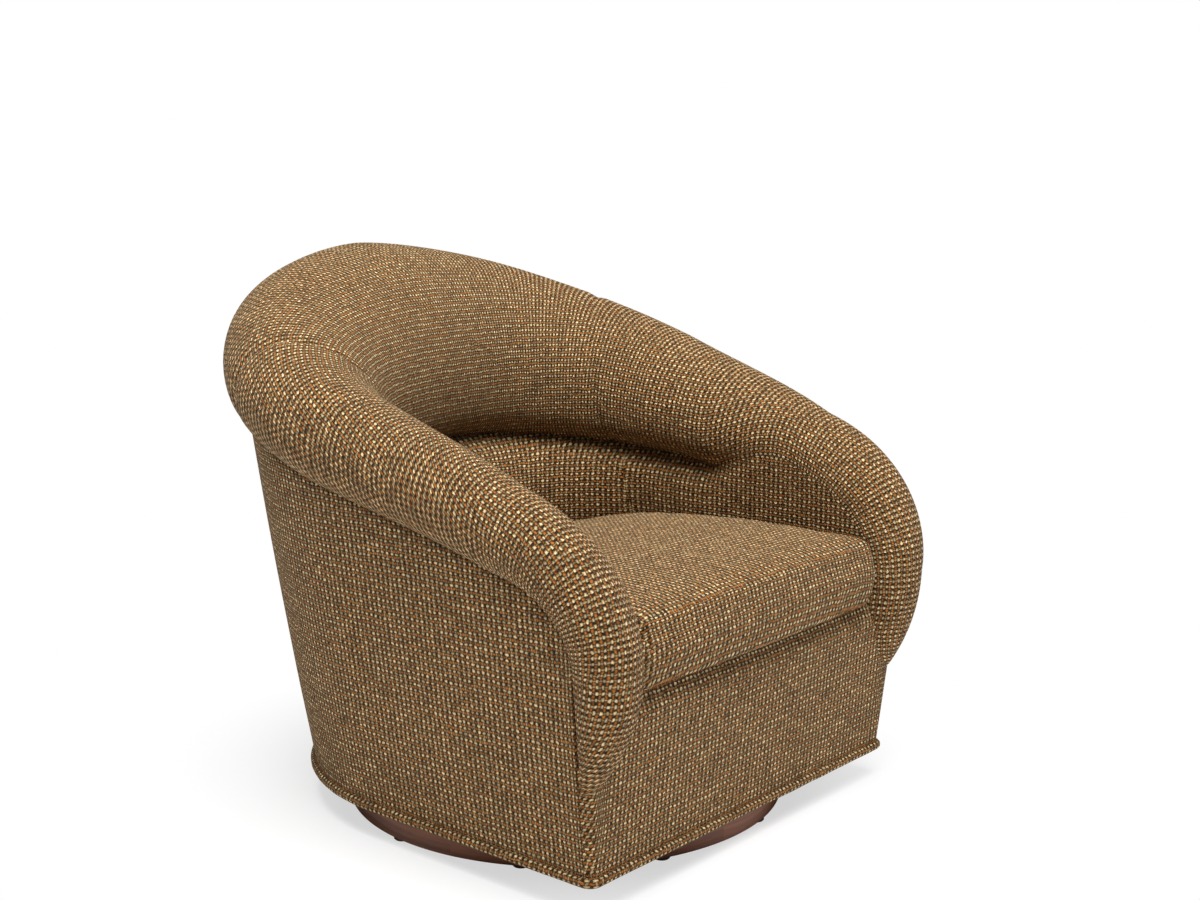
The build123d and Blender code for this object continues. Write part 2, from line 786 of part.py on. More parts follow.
front_edge_y = -(base_front + front_lean * (seat_rail_bottom - panel_bottom)) + front_panel_thickness + pad_gap
front_edge_half = base_half_width - front_edge_inset
front_edge_foam = block(
    -front_edge_half, front_edge_half, front_edge_y, post_front, seat_rail_bottom, seat_deck_height
)
save(front_edge_foam, "front_edge_foam")


# Welt: one thick cord in its cover round the whole bottom edge
def welt_path():
    corner = front_corner_radius
    front = -base_front
    half = base_half_width
    z = hem_height + welt_diameter / 2
    back = EllipticalCenterArc((0, side_straight_end, 0), half, back_depth, 0, arc_size=180)
    bend = corner * (1 - math.sqrt(0.5))
    edges = [
        back,
        Line((-half, side_straight_end), (-half, front + corner)),
        ThreePointArc((-half, front + corner), (-half + bend, front + bend), (-half + corner, front)),
        Line((-half + corner, front), (half - corner, front)),
        ThreePointArc((half - corner, front), (half - bend, front + bend), (half, front + corner)),
        Line((half, front + corner), (half, side_straight_end)),
    ]
    return Pos(0, 0, z) * Wire(edges)


welt_line = welt_path()
welt_section = Plane(origin=welt_line @ 0, z_dir=welt_line % 0) * Circle(welt_diameter / 2)
base_welt = sweep(welt_section, path=welt_line)
save(base_welt, "base_welt")


# Loose seat cushion: crowned on top, drawn in at its sides and lower towards the back
def cushion_layer(height, share):
    """The cushion's outline, shrunk about its middle."""
    return Pos(0, -cushion_middle, height) * scale(cushion_outline, by=share)


cushion_half_width = base_half_width - pad_foot_arm - cushion_side_gap
front_x = cushion_half_width - cushion_front_bow / 2
front_y = cushion_middle - cushion_front
back_y = cushion_middle + base_back - pad_foot_back - cushion_back_gap
cushion_outline = make_face(
    [
        Line((front_x, front_y), (cushion_half_width, back_y)),
        Line((cushion_half_width, back_y), (-cushion_half_width, back_y)),
        Line((-cushion_half_width, back_y), (-front_x, front_y)),
        ThreePointArc((-front_x, front_y), (0, front_y - cushion_front_bow), (front_x, front_y)),
    ]
)
cushion_outline = fillet(cushion_outline.vertices().sort_by(Axis.Y)[:2], cushion_front_rounding)
cushion_outline = fillet(cushion_outline.vertices().sort_by(Axis.Y)[-2:], cushion_back_rounding)
cushion_bottom = seat_deck_height + cushion_rest_gap
cushion_rise = cushion_crown_height - cushion_bottom
cushion = loft(
    [cushion_layer(cushion_bottom + cushion_rise * rise, share) for rise, share in cushion_profile], ruled=True
)
cushion &= Pos(0, -cushion_crown_place, cushion_crown_height - cushion_crown_radius) * Sphere(cushion_crown_radius)
save(cushion, "seat_cushion")
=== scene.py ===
import json
import math
import bmesh
import bpy
import numpy as np
from mathutils import Matrix, Vector, noise


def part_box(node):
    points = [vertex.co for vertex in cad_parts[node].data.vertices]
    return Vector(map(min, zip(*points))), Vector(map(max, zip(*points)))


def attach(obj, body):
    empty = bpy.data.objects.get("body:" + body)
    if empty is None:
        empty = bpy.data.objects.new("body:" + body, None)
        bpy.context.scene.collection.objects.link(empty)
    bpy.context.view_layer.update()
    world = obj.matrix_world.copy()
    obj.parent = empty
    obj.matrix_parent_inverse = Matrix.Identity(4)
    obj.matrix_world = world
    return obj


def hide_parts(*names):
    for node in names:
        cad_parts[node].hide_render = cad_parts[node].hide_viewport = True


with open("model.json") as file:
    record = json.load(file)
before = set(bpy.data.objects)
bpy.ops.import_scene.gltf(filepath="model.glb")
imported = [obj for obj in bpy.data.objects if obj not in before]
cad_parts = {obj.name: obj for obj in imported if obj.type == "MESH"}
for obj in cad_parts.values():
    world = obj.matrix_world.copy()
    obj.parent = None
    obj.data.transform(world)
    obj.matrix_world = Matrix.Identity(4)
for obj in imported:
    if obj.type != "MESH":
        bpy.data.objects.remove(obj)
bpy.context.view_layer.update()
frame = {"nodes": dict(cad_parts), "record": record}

# The unevenness of the covers is the same each run
noise.seed_set(1)

# Sizes in metres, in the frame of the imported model
# The body is drawn about the middle of its bottom outline, which lies BODY_Y behind the swivel axis
HALF_WIDTH, FRONT, BACK, STRAIGHT, BODY_Y = 0.340, 0.366, 0.366, 0.037, 0.025
BACK_DEPTH = BACK - STRAIGHT
PIVOT_Y, PIVOT_Z, TIP_Z = -0.240, 0.330, 0.175
DECK_Z, HEM_Z, WELT_R = 0.286, 0.048, 0.007
PANEL_Z = 0.0553
FLARE, CREASE_Z, TOP_Z = (0.096, 0.040), (0.630, 0.444), (0.793, 0.550)
OVERHANG, TUCK_Z = (0.036, 0.027), (0.502, 0.440)
# How the roll falls from the back to the arms: a power of the way along, and a bow added to it
DROP_POWER, DROP_BOW = 1.5, 2.8
# How far in the tuck and the pads' feet lie, at the back, at the sides and along the arms
TUCK_IN_BACK, TUCK_IN_SIDE, TUCK_IN_ARM = 0.164, 0.072, 0.062
FOOT_IN_BACK, FOOT_IN_ARM = 0.222, 0.060
# Nose of the arm, measured from its pivot: at the arm, at its front and at its lower tip
NOSE_ROOT_TOP, NOSE_TOP, TIP_TOP = 0.220, 0.189, 0.134
NOSE_CREASE, TIP_CREASE = 0.114, 0.118
NOSE_FLARE, TIP_FLARE = 0.022, 0.012
NOSE_OVER, TIP_OVER = 0.014, 0.004
NOSE_TUCK, TIP_TUCK, TIP_TUCK_IN = (0.110, 0.100), 0.112, 0.030
NOSE_TOP_DIP, NOSE_CREASE_DIP = 0.060, 0.030
# Front cover: the height of its top edge between the arms and under them, and where it steps down
FRONT_TOP, FRONT_TOP_SIDE, FRONT_STEP = 0.291, 0.207, (0.304, 0.336)
FRONT_SLOPE, FRONT_CORNER = 0.085, 0.012
# Loose cushion
CUSHION_HALF, CUSHION_FRONT, CUSHION_BACK, CUSHION_BOW = 0.276, -0.400, 0.139, 0.008
CUSHION_FRONT_CORNER, CUSHION_BACK_CORNER = 0.010, 0.125
CROWN_TOP, CROWN_Y, CROWN_RADIUS, SIDE_DROOP, DROOP_HALF = 0.394, -0.280, 1.9, 0.004, 0.271
CUSHION_REACH, CUSHION_LIFT = 0.278, 0.0005


def mix(a, b, t):
    return a + (b - a) * t


def ease(a, b, t):
    t = min(max((t - a) / (b - a), 0.0), 1.0)
    return t * t * (3 - 2 * t)


# Stations along the body's outline: where each one stands and the shape of the roll there
def outline_length(turn, steps=60):
    total = 0.0
    for i in range(steps):
        t = turn * (i + 0.5) / steps
        total += turn / steps * math.hypot(HALF_WIDTH * math.cos(t), BACK_DEPTH * math.sin(t))
    return total


QUARTER = outline_length(math.pi / 2)
PATH = QUARTER + STRAIGHT - PIVOT_Y


def roll_shape(path, tuck_in):
    part = path / PATH
    share = part ** DROP_POWER + DROP_BOW * part ** 3 * (1 - part) ** 2
    return {
        "crease": (-mix(*FLARE, share), mix(*CREASE_Z, share)),
        "over": mix(*OVERHANG, share),
        "top": mix(*TOP_Z, share),
        "tuck": (tuck_in, mix(*TUCK_Z, share)),
    }


def top_place(shape):
    """How far in the roll's highest line lies, and the radius of its outer side."""
    n, h = shape["crease"]
    over, rise = shape["over"], shape["top"] - h
    radius = over + rise - math.sqrt(2 * over * rise)
    return n - over + radius, radius


def smooth_tuck(shape, share):
    """Lifts the tuck to where the roll's inner side stands upright, so that it runs on into the pad below."""
    n, h = shape["tuck"]
    upright = shape["top"] - (n - top_place(shape)[0])
    shape["tuck"] = (n, mix(h, upright, share))
    return shape


def back_station(turn):
    full = max(math.cos(turn), 0.0) ** 1.3
    spot = Vector((HALF_WIDTH * math.sin(turn), STRAIGHT + BACK_DEPTH * math.cos(turn), 0))
    inward = Vector((-math.sin(turn) / HALF_WIDTH, -math.cos(turn) / BACK_DEPTH, 0)).normalized()
    shape = roll_shape(outline_length(turn), mix(TUCK_IN_SIDE, TUCK_IN_BACK, full))
    shape.update(spot=spot, inward=inward, up=Vector((0, 0, 1)))
    shape.update(foot=(mix(FOOT_IN_ARM, FOOT_IN_BACK, full), DECK_Z), groove=1.0, band=full)
    return shape


def arm_station(y):
    run = (STRAIGHT - y) / (STRAIGHT - PIVOT_Y)
    shape = roll_shape(QUARTER + STRAIGHT - y, mix(TUCK_IN_SIDE, TUCK_IN_ARM, run))
    shape.update(spot=Vector((HALF_WIDTH, y, 0)), inward=Vector((-1, 0, 0)), up=Vector((0, 0, 1)))
    shape.update(foot=(FOOT_IN_ARM, DECK_Z), groove=1 - ease(0.03, 0.15, -y), band=0.0)
    return smooth_tuck(shape, ease(0.07, 0.23, -y))


def nose_station(tilt):
    t = tilt / (math.pi / 2)
    dip = t * (1 - t) ** 2
    return smooth_tuck({
        "spot": Vector((HALF_WIDTH, PIVOT_Y, PIVOT_Z)), "inward": Vector((-1, 0, 0)),
        "up": Vector((0, -math.sin(tilt), math.cos(tilt))),
        "crease": (-mix(FLARE[1], NOSE_FLARE, t), NOSE_CREASE - NOSE_CREASE_DIP * dip),
        "over": mix(OVERHANG[1], NOSE_OVER, t),
        "top": mix(NOSE_ROOT_TOP, NOSE_TOP, t) - NOSE_TOP_DIP * dip,
        "tuck": (mix(TUCK_IN_ARM, FOOT_IN_ARM, t), mix(*NOSE_TUCK, t)),
        "foot": (FOOT_IN_ARM, 0.0), "groove": 0.0, "band": 0.0,
    }, 1.0)


def drop_station(share):
    left = 1 - share * share
    z = mix(PIVOT_Z, TIP_Z, share)
    return smooth_tuck({
        "spot": Vector((HALF_WIDTH, PIVOT_Y, z)), "inward": Vector((-1, 0, 0)), "up": Vector((0, -1, 0)),
        "crease": (-mix(NOSE_FLARE, TIP_FLARE, share), mix(NOSE_CREASE, TIP_CREASE, share)),
        "over": mix(TIP_OVER, NOSE_OVER, left),
        "top": mix(TIP_TOP, NOSE_TOP, left),
        "tuck": (mix(TIP_TUCK_IN, FOOT_IN_ARM, left), TIP_TUCK),
        "foot": (FOOT_IN_ARM * left, 0.0), "groove": 0.0, "band": 0.0,
    }, left)


def place(station, n, h, side):
    p = station["spot"] + station["inward"] * n + station["up"] * h
    return (side * p.x, p.y, p.z)


def roll_line(st, outer_count=26, inner_count=30):
    """Points across the roll from the outside crease over the top to the inside tuck."""
    cn, ch = st["crease"]
    tn, th = st["tuck"]
    top = st["top"]
    fall = top - th
    top_n, r1 = top_place(st)
    r2 = ((tn - top_n) ** 2 + fall ** 2) / (2 * fall)
    pts = []
    a0 = math.atan2(ch - (top - r1), cn - top_n) % (2 * math.pi)
    for i in range(outer_count):
        a = mix(a0, math.pi / 2, i / outer_count)
        pts.append((top_n + r1 * math.cos(a), top - r1 + r1 * math.sin(a)))
    a1 = math.atan2(th - (top - r2), tn - top_n)
    for i in range(inner_count + 1):
        a = mix(math.pi / 2, a1, i / inner_count)
        pts.append((top_n + r2 * math.cos(a), top - r2 + r2 * math.sin(a)))
    return pts


def pad_line(st, count=22):
    """Points from the inside tuck down to the deck, swelling into a band across the back."""
    (tn, th), (fn, fh) = st["tuck"], st["foot"]
    swell = 0.026 * st["groove"] * (0.35 + 0.65 * st["band"])
    pts = []
    for i in range(count + 1):
        t = i / count
        pts.append((mix(tn, fn, t) + swell * math.sin(math.pi * min(t * 1.25, 1.0)), mix(th, fh, t)))
    return pts


def lengths(pts):
    out = [0.0]
    for a, b in zip(pts, pts[1:]):
        out.append(out[-1] + math.dist(a, b))
    return out


def grooved(pts, from_tuck, groove, reach=0.018, depth=0.026):
    """The line with a rounded valley drawn in where the roll meets the band below it."""
    return [(n - depth * groove * math.exp(-((d / reach) ** 2)), h) for (n, h), d in zip(pts, from_tuck)]


def soften(points, amount=0.0012, size=7.0):
    """A slight unevenness, as stuffing gives a tight cover."""
    out = points.copy()
    for index in np.ndindex(points.shape[:-1]):
        p = Vector(points[index])
        out[index] = points[index] + np.array(noise.noise_vector(p * size)) * amount
    return out


def grid_mesh(name, points, uvs, flip=False):
    """A mesh from a grid of points with one UV for each point."""
    nu, nv = points.shape[:2]
    verts = points.reshape(-1, 3)
    flat_uv = uvs.reshape(-1, 2)
    faces = []
    for i in range(nu - 1):
        for j in range(nv - 1):
            quad = [i * nv + j, (i + 1) * nv + j, (i + 1) * nv + j + 1, i * nv + j + 1]
            faces.append(quad[::-1] if flip else quad)
    mesh = bpy.data.meshes.new(name)
    mesh.from_pydata([(x, y + BODY_Y, z) for x, y, z in verts], [], faces)
    layer = mesh.uv_layers.new(name="UVMap")
    for loop in mesh.loops:
        layer.data[loop.index].uv = flat_uv[loop.vertex_index]
    mesh.polygons.foreach_set("use_smooth", [True] * len(mesh.polygons))
    mesh.update()
    obj = bpy.data.objects.new(name, mesh)
    bpy.context.scene.collection.objects.link(obj)
    return obj


# Node helpers
def new_group(name, inputs, outputs):
    tree = bpy.data.node_groups.new(name, "ShaderNodeTree")
    for label, kind, value in inputs:
        socket = tree.interface.new_socket(label, in_out="INPUT", socket_type=kind)
        if value is not None:
            socket.default_value = value
    for label, kind in outputs:
        tree.interface.new_socket(label, in_out="OUTPUT", socket_type=kind)
    return tree, tree.nodes.new("NodeGroupInput"), tree.nodes.new("NodeGroupOutput")


class Nodes:
    """Short calls for the nodes of one tree."""

    def __init__(self, tree):
        self.tree = tree

    def link(self, value, socket):
        if isinstance(value, bpy.types.NodeSocket):
            self.tree.links.new(value, socket)
        else:
            socket.default_value = value

    def math(self, op, *values, clamp=False):
        node = self.tree.nodes.new("ShaderNodeMath")
        node.operation = op
        node.use_clamp = clamp
        for value, socket in zip(values, node.inputs):
            self.link(value, socket)
        return node.outputs[0]

    def blend(self, fac, a, b, how="MIX"):
        node = self.tree.nodes.new("ShaderNodeMix")
        node.data_type = "RGBA"
        node.blend_type = how
        self.link(fac, node.inputs["Factor"])
        self.link(a, node.inputs[6])
        self.link(b, node.inputs[7])
        return node.outputs[2]

    def lerp(self, fac, a, b):
        node = self.tree.nodes.new("ShaderNodeMix")
        node.data_type = "FLOAT"
        self.link(fac, node.inputs["Factor"])
        self.link(a, node.inputs[2])
        self.link(b, node.inputs[3])
        return node.outputs[0]

    def split(self, vector):
        node = self.tree.nodes.new("ShaderNodeSeparateXYZ")
        self.link(vector, node.inputs[0])
        return node.outputs

    def join(self, x, y, z=0.0):
        node = self.tree.nodes.new("ShaderNodeCombineXYZ")
        for value, socket in zip((x, y, z), node.inputs):
            self.link(value, socket)
        return node.outputs[0]

    def noise(self, vector, scale, detail=2.0, out=0):
        node = self.tree.nodes.new("ShaderNodeTexNoise")
        node.inputs["Scale"].default_value = scale
        node.inputs["Detail"].default_value = detail
        self.link(vector, node.inputs["Vector"])
        return node.outputs[out]

    def random(self, vector):
        node = self.tree.nodes.new("ShaderNodeTexWhiteNoise")
        node.noise_dimensions = "2D"
        self.link(vector, node.inputs["Vector"])
        return node.outputs[0]


def tweed_group():
    """A chunky plain weave: rows of two weft colours over a darker warp, with painted shade in the gaps
    between yarns.
    """
    tree, given, out = new_group(
        "TweedWeave",
        [("Vector", "NodeSocketVector", None), ("Yarn pitch", "NodeSocketFloat", 0.0043),
         ("Weft one", "NodeSocketColor", (0.35, 0.112, 0.018, 1)),
         ("Weft two", "NodeSocketColor", (0.70, 0.52, 0.275, 1)),
         ("Warp one", "NodeSocketColor", (0.045, 0.023, 0.008, 1)),
         ("Warp two", "NodeSocketColor", (0.36, 0.25, 0.115, 1)),
         ("Gap shade", "NodeSocketFloat", 0.05)],
        [("Color", "NodeSocketColor"), ("Height", "NodeSocketFloat")],
    )
    k = Nodes(tree)
    vec = given.outputs["Vector"]
    wobble = k.split(k.noise(vec, 55.0, 2.0, 1))
    x, y, _ = k.split(vec)
    slub = k.split(k.noise(vec, 170.0, 1.0, 1))
    sway = [k.math("MULTIPLY_ADD", slub[n], 0.9, k.math("MULTIPLY", wobble[n], 0.9)) for n in (0, 1)]
    u = k.math("ADD", k.math("DIVIDE", x, given.outputs["Yarn pitch"]), sway[0])
    v = k.math("ADD", k.math("DIVIDE", y, given.outputs["Yarn pitch"]), sway[1])
    i, j = k.math("FLOOR", u), k.math("FLOOR", v)
    fx = k.math("SUBTRACT", k.math("SUBTRACT", u, i), 0.5)
    fy = k.math("SUBTRACT", k.math("SUBTRACT", v, j), 0.5)
    over = k.math("FLOORED_MODULO", k.math("ADD", i, j), 2.0)
    row = k.math("FLOORED_MODULO", j, 2.0)
    column = k.math("FLOORED_MODULO", i, 2.0)

    def dome(across, along):
        a = k.math("POWER", k.math("ABSOLUTE", k.math("MULTIPLY", fx, across)), 2.0)
        b = k.math("POWER", k.math("ABSOLUTE", k.math("MULTIPLY", fy, along)), 2.0)
        return k.math("SUBTRACT", 1.0, k.math("ADD", a, b), clamp=True)

    show = k.math("MULTIPLY", over, k.math("MULTIPLY", dome(2.3, 1.35), 2.2, clamp=True))
    sunk = k.math("MULTIPLY", dome(0.6, 1.9), 0.45)
    weft_crown = k.lerp(over, dome(1.15, 1.85), sunk)
    crown = k.math("POWER", k.lerp(show, weft_crown, dome(2.3, 1.35)), 1.1)
    fibre = k.noise(vec, 1500.0, 2.0)
    cell = k.random(k.join(i, j))
    weft = k.blend(row, given.outputs["Weft one"], given.outputs["Weft two"])
    warp = k.blend(column, given.outputs["Warp one"], given.outputs["Warp two"])
    colour = k.blend(show, weft, warp)
    # Painted shade: the colour falls towards the gap shade where a yarn's crown falls away, between the yarns
    # and over the sunk warp. A random tone for each cell and a fibre mottle are laid over it.
    shade = k.math("MULTIPLY", k.lerp(crown, given.outputs["Gap shade"], 1.0), k.lerp(cell, 0.55, 1.35))
    shade = k.math("MULTIPLY", shade, k.lerp(fibre, 0.7, 1.3))
    broad = k.lerp(k.noise(vec, 9.0, 1.0), 0.93, 1.07)
    shade = k.math("MULTIPLY", shade, broad)
    grey = k.join(shade, shade, shade)
    k.link(k.blend(1.0, colour, grey, "MULTIPLY"), out.inputs["Color"])
    height = k.math("MULTIPLY", crown, k.lerp(over, 1.0, 0.7))
    height = k.math("ADD", height, k.math("MULTIPLY", fibre, 0.25))
    k.link(height, out.inputs["Height"])
    return tree


def wood_group():
    """Wood whose grain runs round the upright axis or along one direction, with pores and bands."""
    tree, given, out = new_group(
        "WoodGrain",
        [("Along", "NodeSocketFloat", 0.0), ("Across", "NodeSocketFloat", 0.0),
         ("Piece", "NodeSocketFloat", 0.0),
         ("Light", "NodeSocketColor", (0.2, 0.08, 0.04, 1)),
         ("Dark", "NodeSocketColor", (0.07, 0.025, 0.012, 1))],
        [("Color", "NodeSocketColor"), ("Height", "NodeSocketFloat")],
    )
    k = Nodes(tree)
    offset = k.math("MULTIPLY", given.outputs["Piece"], 3.7)
    along = k.math("ADD", given.outputs["Along"], offset)

    def streaks(level, long_scale, cross_scale, shift, detail):
        place = k.join(k.math("MULTIPLY", along, long_scale), k.math("MULTIPLY", level, cross_scale), shift)
        return k.noise(place, 1.0, detail)

    bend = streaks(given.outputs["Across"], 3.0, 8.0, 0.0, 2.0)
    across = k.math("ADD", given.outputs["Across"], k.math("MULTIPLY", bend, 0.03))
    bands = streaks(across, 2.0, 130.0, offset, 3.0)
    pores = streaks(across, 60.0, 1900.0, offset, 2.0)
    tone = k.math("MULTIPLY_ADD", k.random(k.join(given.outputs["Piece"], 0.37)), 0.5, -0.25)
    fac = k.math("ADD", k.math("MULTIPLY_ADD", bands, 1.9, -0.45), tone, clamp=True)
    fac = k.math("SUBTRACT", fac, k.math("MULTIPLY", k.math("GREATER_THAN", pores, 0.62), 0.25), clamp=True)
    k.link(k.blend(fac, given.outputs["Dark"], given.outputs["Light"]), out.inputs["Color"])
    k.link(k.math("MULTIPLY_ADD", pores, -0.5, k.math("MULTIPLY", bands, 0.4)), out.inputs["Height"])
    return tree


def new_material(name, roughness, metallic=0.0, specular=0.5):
    mat = bpy.data.materials.new(name)
    mat.use_nodes = True
    shader = mat.node_tree.nodes["Principled BSDF"]
    shader.inputs["Roughness"].default_value = roughness
    shader.inputs["Metallic"].default_value = metallic
    shader.inputs["Specular IOR Level"].default_value = specular
    return mat, Nodes(mat.node_tree), shader


def use_group(k, tree):
    node = k.tree.nodes.new("ShaderNodeGroup")
    node.node_tree = tree
    return node


def bump(k, shader, height, strength, distance):
    node = k.tree.nodes.new("ShaderNodeBump")
    node.inputs["Strength"].default_value = strength
    node.inputs["Distance"].default_value = distance
    k.link(height, node.inputs["Height"])
    k.link(node.outputs[0], shader.inputs["Normal"])


TWEED = tweed_group()
WOOD = wood_group()


def tweed_material():
    mat, k, shader = new_material("tweed", 0.92, specular=0.12)
    uv = k.tree.nodes.new("ShaderNodeUVMap")
    uv.uv_map = "UVMap"
    weave = use_group(k, TWEED)
    k.link(uv.outputs[0], weave.inputs["Vector"])
    k.link(weave.outputs["Color"], shader.inputs["Base Color"])
    shader.inputs["Sheen Weight"].default_value = 0.08
    shader.inputs["Sheen Roughness"].default_value = 0.5
    shader.inputs["Sheen Tint"].default_value = (0.9, 0.75, 0.55, 1)
    bump(k, shader, weave.outputs["Height"], 0.9, 0.0022)
    return mat


def wood_material(name, light, dark, roughness, ring):
    """Wood with its grain round the plinth, or along the longer level direction of a rail."""
    mat, k, shader = new_material(name, roughness, specular=0.4)
    coords = k.tree.nodes.new("ShaderNodeTexCoord").outputs["Object"]
    x, y, z = k.split(coords)
    grain = use_group(k, WOOD)
    if ring:
        turn = k.math("ARCTAN2", y, x)
        past = k.math("SUBTRACT", turn, math.radians(12))
        piece = k.math("FLOOR", k.math("DIVIDE", past, math.radians(36)))
        k.link(k.math("MULTIPLY", turn, 0.325), grain.inputs["Along"])
        k.link(piece, grain.inputs["Piece"])
    else:
        k.link(k.math("ADD", x, k.math("MULTIPLY", y, 0.35)), grain.inputs["Along"])
    k.link(k.math("ADD", z, k.math("MULTIPLY", y, 0.0 if ring else 0.5)), grain.inputs["Across"])
    grain.inputs["Light"].default_value = (*light, 1)
    grain.inputs["Dark"].default_value = (*dark, 1)
    k.link(grain.outputs["Color"], shader.inputs["Base Color"])
    bump(k, shader, grain.outputs["Height"], 0.25, 0.0006)
    return mat


def plain_material(name, light, dark, roughness, metallic, scale, strength):
    """Metal, plastic or cloth with a fine mottle in colour and surface."""
    mat, k, shader = new_material(name, roughness, metallic)
    coords = k.tree.nodes.new("ShaderNodeTexCoord").outputs["Object"]
    grain = k.noise(coords, scale, 3.0)
    k.link(k.blend(grain, (*dark, 1), (*light, 1)), shader.inputs["Base Color"])
    k.link(k.lerp(grain, roughness - 0.08, roughness + 0.08), shader.inputs["Roughness"])
    bump(k, shader, grain, strength, 0.0005)
    return mat


tweed = tweed_material()
walnut = wood_material("walnut", (0.240, 0.075, 0.026), (0.090, 0.026, 0.010), 0.45, True)
frame_wood = wood_material("frame_wood", (0.62, 0.44, 0.26), (0.45, 0.29, 0.15), 0.65, False)
steel = plain_material("steel", (0.62, 0.62, 0.62), (0.48, 0.48, 0.49), 0.34, 1.0, 260.0, 0.06)
nylon = plain_material("nylon", (0.05, 0.05, 0.05), (0.03, 0.03, 0.03), 0.5, 0.0, 500.0, 0.1)
lining = plain_material("lining_cloth", (0.035, 0.032, 0.030), (0.015, 0.014, 0.013), 0.9, 0.0, 900.0, 0.5)
SLOT_MATERIAL = {"tweed": tweed, "walnut": walnut, "frame_wood": frame_wood, "steel": steel, "nylon": nylon,
                 "lining_cloth": lining}

for entry in frame["record"]["subparts"]:
    node = frame["nodes"][entry["node"]]
    node.data.materials.clear()
    node.data.materials.append(SLOT_MATERIAL[entry["material_slot"]])


def dress(obj, material, slot, body, *nodes):
    obj.data.materials.clear()
    obj.data.materials.append(material)
    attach(obj, body)
    if nodes:
        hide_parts(*nodes)
    return obj


# Stations of one half, from the middle of the back to the tip of the arm
QUARTER_STEPS = 90


def span(start, end, count):
    return [mix(start, end, i / count) for i in range(count + 1)]


quarter_stations = [back_station(t) for t in span(0, math.pi / 2, QUARTER_STEPS)]
straight_stations = [arm_station(y) for y in span(STRAIGHT, PIVOT_Y, 40)[1:]]
nose_stations = [nose_station(t) for t in span(0, math.pi / 2, 26)[1:]]
drop_stations = [drop_station(s) for s in span(0, 1.0, 24)[1:]]
arm_stations = straight_stations + nose_stations


def running(points):
    """Distance along a list of points."""
    return np.concatenate([[0.0], np.cumsum(np.linalg.norm(np.diff(points, axis=0), axis=1))])


def roll_grid(stations, side):
    """Points and UVs of a length of roll, with a flange tucked in at each edge."""
    rows, across = [], []
    for st in stations:
        pts = roll_line(st)
        run = lengths(pts)
        pts = grooved(pts, [run[-1] - d for d in run], st["groove"])
        (a_n, a_h), (z_n, z_h) = pts[0], pts[-1]
        pts = [(a_n + 0.022, a_h - 0.003), (a_n + 0.006, a_h - 0.002)] + pts
        g = st["groove"]
        pts.append((z_n - mix(0.0004, 0.006, g), z_h - 0.004 * (1 - g)))
        pts.append((z_n - mix(0.004, 0.016, g), z_h - 0.009 * (1 - g)))
        rows.append([place(st, n, h, side) for n, h in pts])
        across.append([-0.022, -0.006] + run + [run[-1] + 0.006, run[-1] + 0.016])
    return np.array(rows), np.array(across)


def roll_uv(points, across, level):
    """Along the roll, and up from its tuck. A level cover keeps its rows level inside the back."""
    along = running(points[:, 28])
    uv = np.zeros(points.shape[:2] + (2,))
    for i in range(points.shape[0]):
        uv[i, :, 0] = along[i]
        uv[i, :, 1] = across[i][-1] - across[i]
        if level:
            uv[i, :, 1] += points[i, -3, 2]
    return uv


def seam_edges(points, first, last, depth=0.0035):
    """Draws the first or last rows in, so that a seam shows where two lengths meet."""
    middle = points.mean(axis=1, keepdims=True)
    toward = middle - points
    toward /= np.linalg.norm(toward, axis=2, keepdims=True) + 1e-9
    out = points.copy()
    for i in range(points.shape[0]):
        gap = min(i if first else 99, points.shape[0] - 1 - i if last else 99)
        out[i] += toward[i] * depth * math.exp(-((gap / 1.1) ** 2))
    return out


def cut(points, uvs, low, high, rows):
    """A length of cover between two seams, each given by a station number for every point across."""
    out_p, out_uv = [], []
    for r in range(rows + 1):
        at = low + (high - low) * r / rows
        base = np.minimum(np.floor(at).astype(int), points.shape[0] - 2)
        part = (at - base)[:, None]
        column = np.arange(points.shape[1])
        out_p.append(points[base, column] * (1 - part) + points[base + 1, column] * part)
        out_uv.append(uvs[base, column] * (1 - part) + uvs[base + 1, column] * part)
    return np.array(out_p), np.array(out_uv)


def both_halves(points, uvs):
    """A half cover from the middle outwards, with its mirror image joined on."""
    points = np.concatenate([points[:0:-1] * np.array([-1.0, 1.0, 1.0]), points])
    return points, np.concatenate([uvs[:0:-1] * np.array([-1.0, 1.0]), uvs])


def mitre_line(points, start, turn, end, bend):
    """Station numbers of a slanting seam, from one edge to a bend and on to the other edge."""
    count = points.shape[1]
    return np.interp(np.arange(count), [0, bend, count - 1], [start, turn, end])


table, across = roll_grid(quarter_stations + arm_stations + drop_stations, 1)
mitre = mitre_line(table, 60.0, 64.0, 76.0, 28)
zero = np.zeros(table.shape[1])
last = np.full(table.shape[1], table.shape[0] - 1.0)
pts, uv = cut(table, roll_uv(table, across, False), mitre, last, 130)
for side, name in ((1, "right"), (-1, "left")):
    shape = seam_edges(soften(pts * np.array([side, 1.0, 1.0])), True, False)
    roll = grid_mesh(f"arm_roll_cover_{name}", shape, uv * np.array([side, 1.0]), flip=side < 0)
    dress(roll, tweed, "tweed", "seat", f"arm_roll_{name}")
pts, uv = both_halves(*cut(table, roll_uv(table, across, True), zero, mitre, 54))
back_cover = grid_mesh("back_roll_cover", seam_edges(soften(pts), True, True), uv)
dress(back_cover, tweed, "tweed", "seat", "back_roll")


